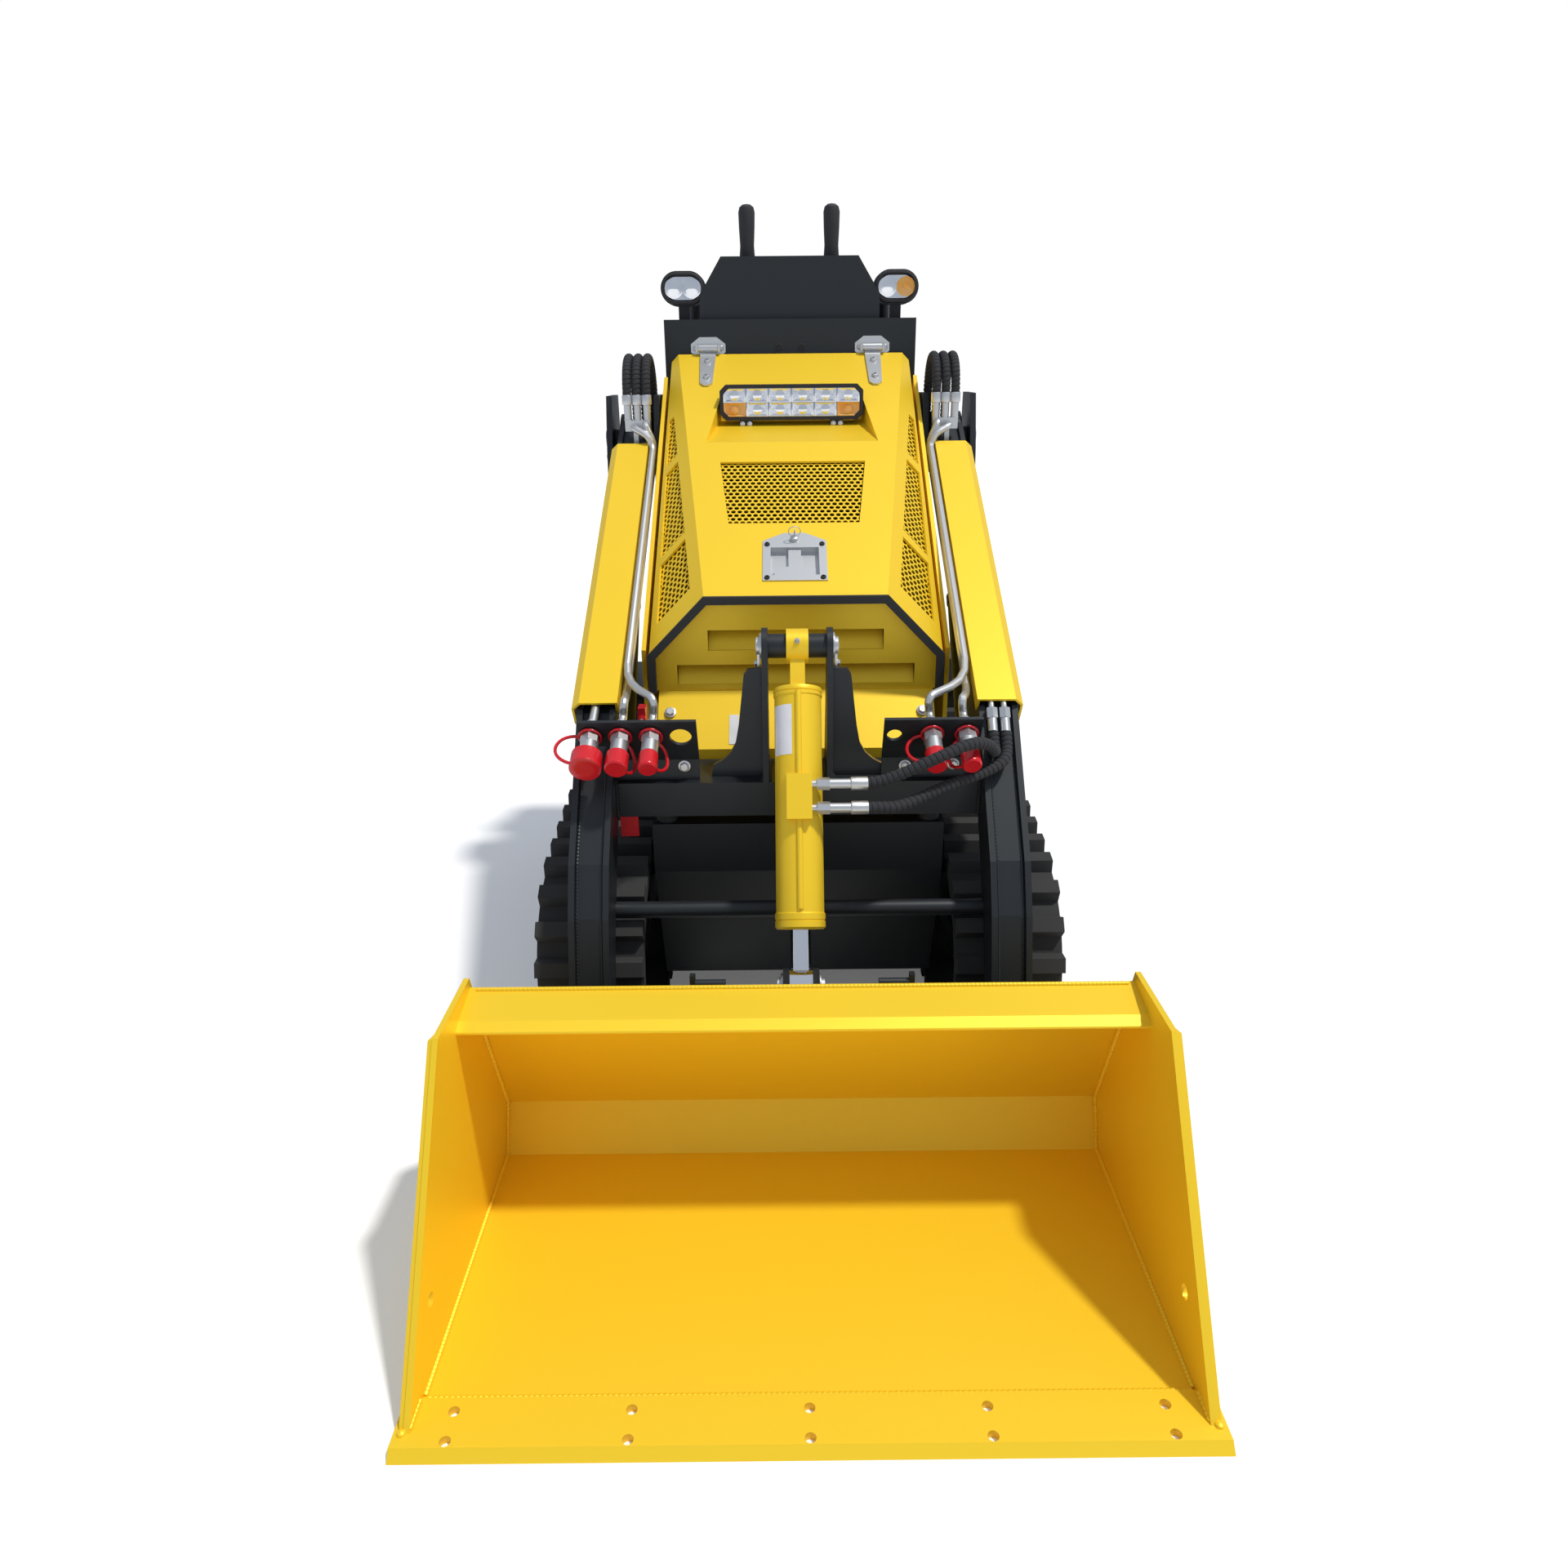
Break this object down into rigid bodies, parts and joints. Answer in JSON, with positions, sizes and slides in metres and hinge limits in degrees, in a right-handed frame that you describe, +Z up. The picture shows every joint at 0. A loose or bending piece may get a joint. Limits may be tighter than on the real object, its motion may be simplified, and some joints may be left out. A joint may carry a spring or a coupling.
{
  "type": "mini skid steer loader",
  "caption": "Stand-on tracked loader with lift arms, a front bucket, hydraulic cylinders, a hinged hood and a folding operator platform.",
  "frame": {"origin": "on the ground, midway between the bucket's lip and the platform's rear edge, on the centre plane", "axes": "+Y from the bucket towards the operator's platform, +X to the picture's right, +Z up"},
  "size_m": [1, 2.2, 1.52],
  "materials": {
    "yellow_paint": "semi-gloss yellow paint",
    "black_paint": "gloss black paint",
    "track_rubber": "matt black rubber",
    "zinc_steel": "bright zinc-plated steel",
    "rod_chrome": "ground chromed rod",
    "black_plastic": "moulded black plastic",
    "red_plastic": "soft red plastic",
    "red_paint": "red paint",
    "engine_metal": "cast engine block",
    "hose_rubber": "hose with a spiral guard"
  },
  "bodies": {
    "chassis": {"chassis_tub": "black_paint", "engine_block": "engine_metal", "arm_tower_right": "black_paint", "arm_tower_left": "black_paint", "lift_brackets": "black_paint", "bump_stops": "track_rubber", "side_panels": "yellow_paint", "front_ledge": "yellow_paint", "front_grille": "yellow_paint", "console": "black_paint", "console_plate": "black_paint", "control_levers": "black_plastic", "hand_bar": "black_paint", "work_lamps": "black_plastic", "track_left": "track_rubber", "track_right": "track_rubber", "idlers": "black_paint", "tail_wheels": "black_paint", "sprockets": "black_paint", "track_rollers": "black_paint", "track_frames": "black_paint", "drive_motors": "black_paint", "platform_bracket": "black_paint", "hood_hinges": "zinc_steel"},
    "hood": {"hood_shell": "yellow_paint", "hood_straps": "zinc_steel", "hood_grilles": "yellow_paint", "light_bar": "black_plastic", "hood_latch": "zinc_steel", "hood_trim": "track_rubber"},
    "arms": {"arm_right": "black_paint", "arm_left": "black_paint", "crossmember": "black_paint", "cross_tube": "black_paint", "tilt_bracket": "black_paint", "arm_covers": "yellow_paint", "coupler_plates": "black_paint", "couplers": "zinc_steel", "coupler_caps": "red_plastic", "arm_pipes": "zinc_steel", "lock_bar": "red_paint", "tilt_hoses": "hose_rubber", "tower_hoses": "hose_rubber"},
    "lift_barrels": {"lift_barrels": "black_paint"},
    "lift_rods": {"lift_rods": "rod_chrome"},
    "tilt_barrel": {"tilt_barrel": "yellow_paint", "port_fittings": "zinc_steel"},
    "tilt_rod": {"tilt_rod": "rod_chrome"},
    "bucket": {"bucket_shell": "yellow_paint", "bucket_sides": "yellow_paint", "cutting_edge": "yellow_paint", "attach_plate": "black_paint"},
    "platform": {"operator_platform": "black_paint"}
  },
  "joints": [
    {"name": "arm_lift", "type": "hinge", "parent": "chassis", "child": "arms", "pos_m": [0, 0.5, 1.045], "axis": [-1, 0, 0], "range_deg": [0, 82]},
    {"name": "bucket_tilt", "type": "hinge", "parent": "arms", "child": "bucket", "pos_m": [0, -0.5, 0.148], "axis": [1, 0, 0], "range_deg": [-20, 75]},
    {"name": "lift_barrel_swing", "type": "hinge", "parent": "chassis", "child": "lift_barrels", "pos_m": [0, -0.05, 0.495], "axis": [1, 0, 0], "range_deg": [-1, 12.48]},
    {"name": "lift_rod_slide", "type": "slide", "parent": "lift_barrels", "child": "lift_rods", "axis": [0, 0.6402, 0.7682], "range_m": [-0.001, 0.2835]},
    {"name": "tilt_barrel_swing", "type": "hinge", "parent": "arms", "child": "tilt_barrel", "pos_m": [0, -0.265, 0.768], "axis": [1, 0, 0], "range_deg": [-8, 8]},
    {"name": "tilt_rod_slide", "type": "slide", "parent": "tilt_barrel", "child": "tilt_rod", "axis": [0, -0.4997, -0.8662], "range_m": [-0.055, 0.19]},
    {"name": "hood_hinge", "type": "hinge", "parent": "chassis", "child": "hood", "pos_m": [0, 0.561, 1.229], "axis": [-1, 0, 0], "range_deg": [0, 55]},
    {"name": "platform_fold", "type": "hinge", "parent": "chassis", "child": "platform", "pos_m": [0, 0.825, 0.21], "axis": [1, 0, 0], "range_deg": [0, 80]}
  ],
  "couplings": [
    {"joint": "lift_barrel_swing", "follows": "arm_lift", "ratio": 0.14002},
    {"joint": "lift_rod_slide", "follows": "arm_lift", "m_per_rad": 0.1974},
    {"joint": "tilt_barrel_swing", "follows": "bucket_tilt", "ratio": -0.02487},
    {"joint": "tilt_rod_slide", "follows": "bucket_tilt", "m_per_rad": 0.13877}
  ]
}
